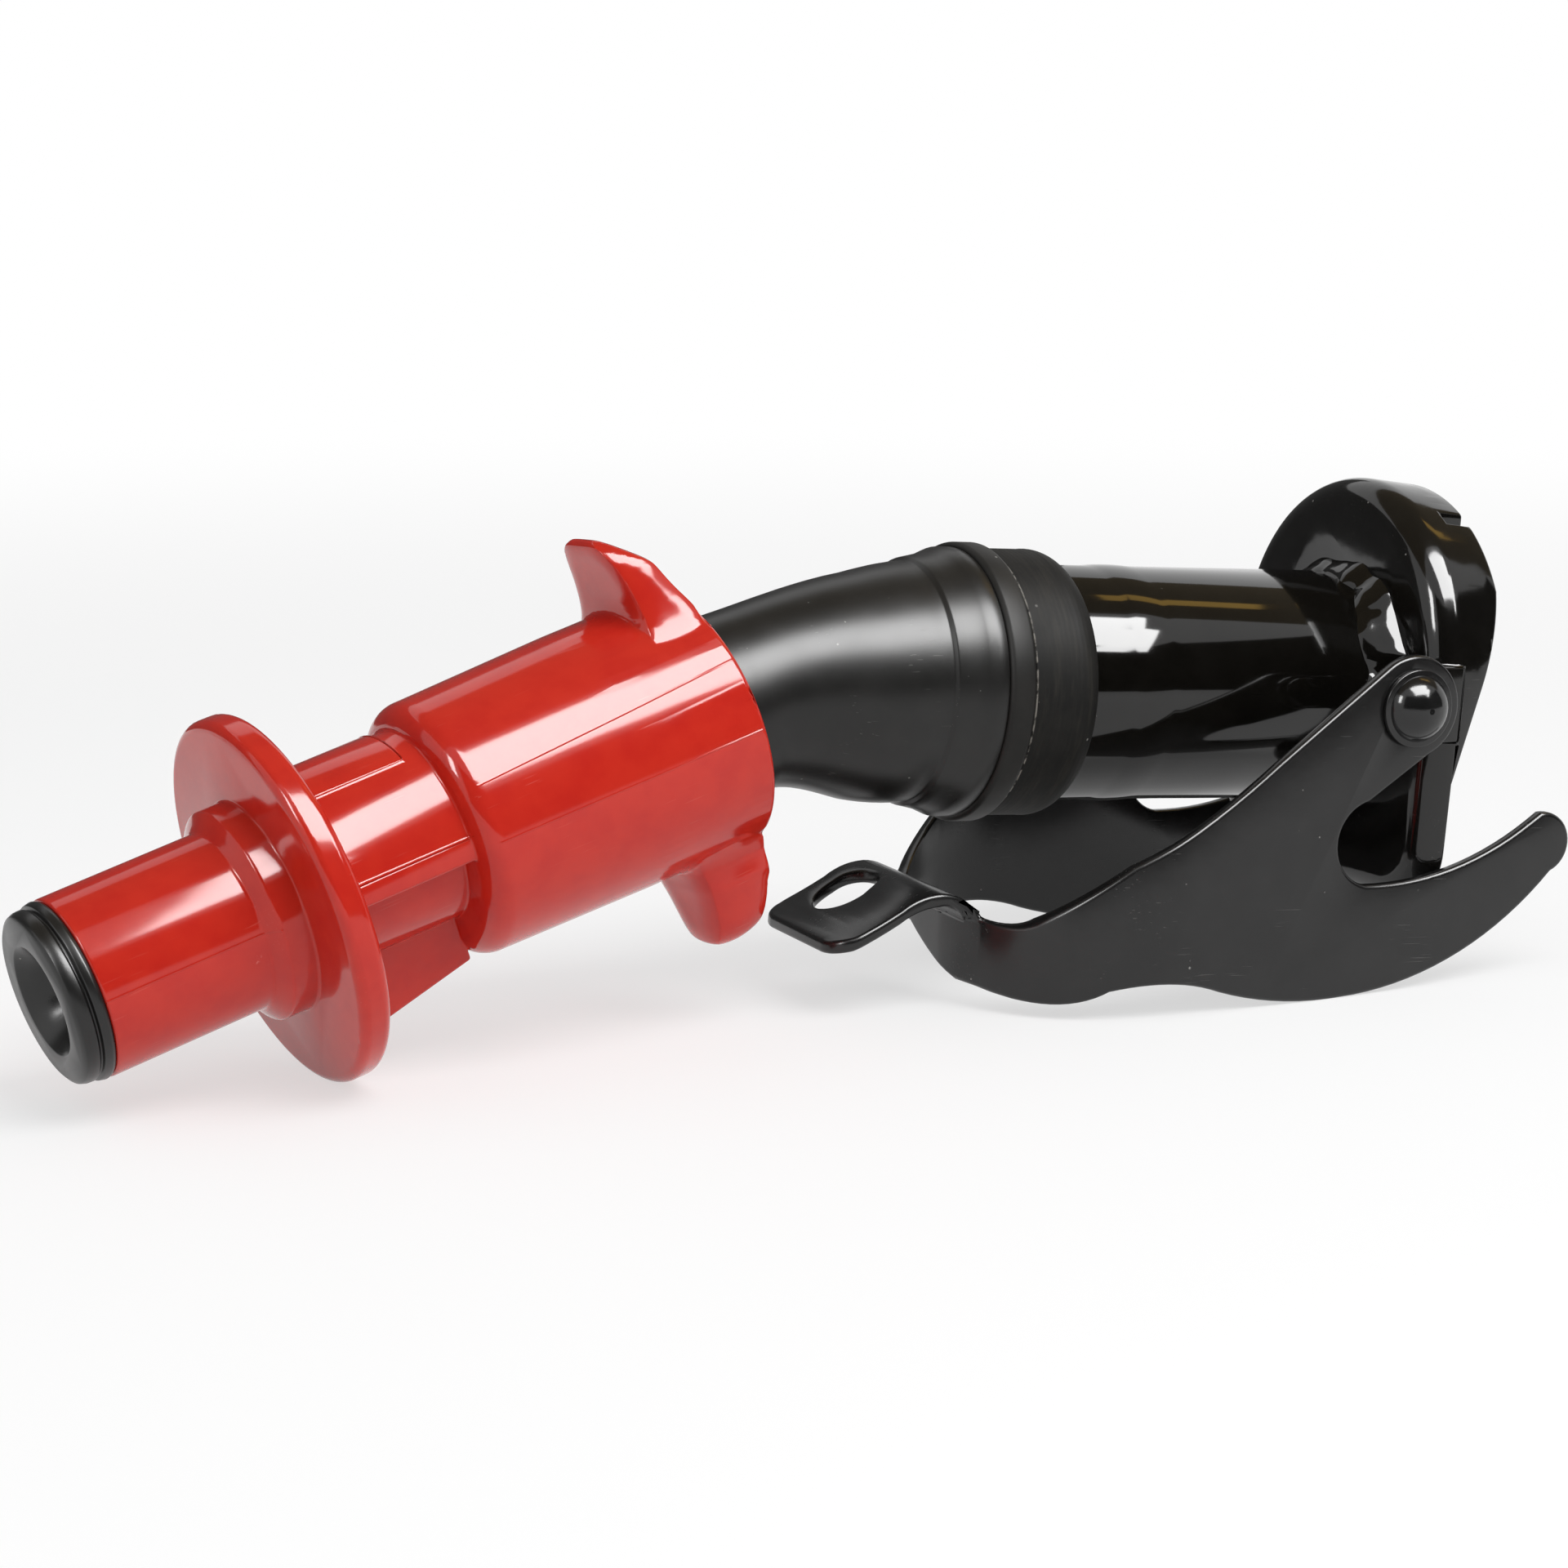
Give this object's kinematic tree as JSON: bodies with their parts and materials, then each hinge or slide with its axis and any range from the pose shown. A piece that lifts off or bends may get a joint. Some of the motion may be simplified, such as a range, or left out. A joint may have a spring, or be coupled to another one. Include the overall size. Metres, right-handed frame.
{
  "type": "automatic jerry can spout",
  "caption": "Bent jerry can pouring spout: black steel clamp head and lever, black elbow, rubber collar and a red sliding valve sleeve with flange and finger wings.",
  "frame": {"origin": "centre of the mouth seal's face, on the axis of the steel tube", "axes": "+X along the steel tube into the can's mouth, +Z away from the lever, +Y along the rivets' axis; the nozzle points towards -X and bends down and towards -Y"},
  "size_m": [0.2045, 0.062, 0.0755],
  "materials": {
    "black_steel": "gloss black paint over pressed steel",
    "black_plastic": "satin moulded",
    "black_rubber": "dull",
    "red_plastic": "glossy moulded red",
    "steel": "plain spring steel",
    "fibre": "dull fibre"
  },
  "bodies": {
    "clamp_head": {"steel_tube": "black_steel", "weld_bead": "black_steel", "head": "black_steel", "mouth_gasket": "black_rubber", "washers": "black_steel", "rivets": "black_steel"},
    "elbow_part": {"elbow": "black_plastic", "swivel_seal": "fibre", "collar_ring": "black_plastic", "rubber_cuff": "black_rubber", "vent_tube": "black_plastic", "front_vent_spider": "black_plastic", "rear_vent_spider": "black_plastic", "tip_cap": "black_plastic", "tip_seal": "black_rubber", "stem_seals": "black_rubber", "rear_spring_washer": "steel"},
    "valve_slider": {"front_spring_washer": "steel", "return_spring": "steel"},
    "sleeve": {"red_sleeve": "red_plastic", "rear_guide_ring": "red_plastic"},
    "lever": {"lever": "black_steel"}
  },
  "joints": [
    {"name": "elbow_swivel", "type": "hinge", "parent": "clamp_head", "child": "elbow_part", "pos_m": [-0.06, 0, 0], "axis": [1, 0, 0], "continuous": true},
    {"name": "sleeve_slide", "type": "slide", "parent": "elbow_part", "child": "valve_slider", "axis": [0.9317, 0.1001, 0.3492], "range_m": [0, 0.005], "stiffness_N_per_m": 690, "springref_m": -0.01, "deforming": ["return_spring"]},
    {"name": "sleeve_turn", "type": "hinge", "parent": "valve_slider", "child": "sleeve", "pos_m": [-0.12597, -0.004, -0.01397], "axis": [-0.9317, -0.1001, -0.3492], "continuous": true},
    {"name": "lever_pivot", "type": "hinge", "parent": "clamp_head", "child": "lever", "pos_m": [-0.0113, 0, 0.0011], "axis": [0, 1, 0], "range_deg": [-100, 7]}
  ]
}
